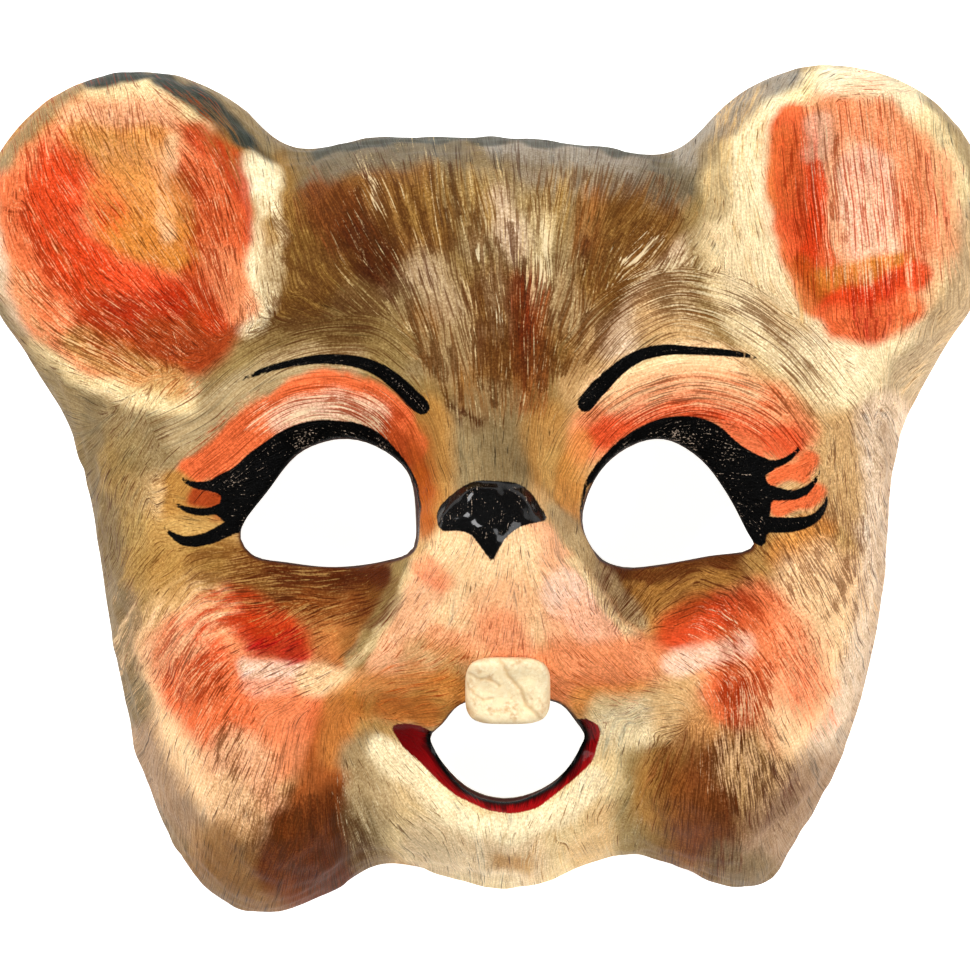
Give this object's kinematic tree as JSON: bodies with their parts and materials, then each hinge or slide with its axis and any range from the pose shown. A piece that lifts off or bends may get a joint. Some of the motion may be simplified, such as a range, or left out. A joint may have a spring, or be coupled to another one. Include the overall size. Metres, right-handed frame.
{
  "type": "mouse face mask",
  "caption": "Open-backed papier-mache mouse mask with two round dished ears, eye holes, an open mouth and a block of front teeth.",
  "frame": {"origin": "middle of the outline, on the plane of the cut rim that the mask lies on", "axes": "+Z out of the face, +Y towards the forehead, +X towards the right ear of someone who looks at the face"},
  "size_m": [0.2196, 0.183, 0.0661],
  "materials": {
    "painted_papier_mache": "hand-brushed paint under a satin varnish, bare grey paper inside",
    "tooth_paint": "cream paint, finely crackled"
  },
  "bodies": {
    "root": {"mask_shell": "painted_papier_mache", "front_teeth": "tooth_paint"}
  },
  "joints": []
}
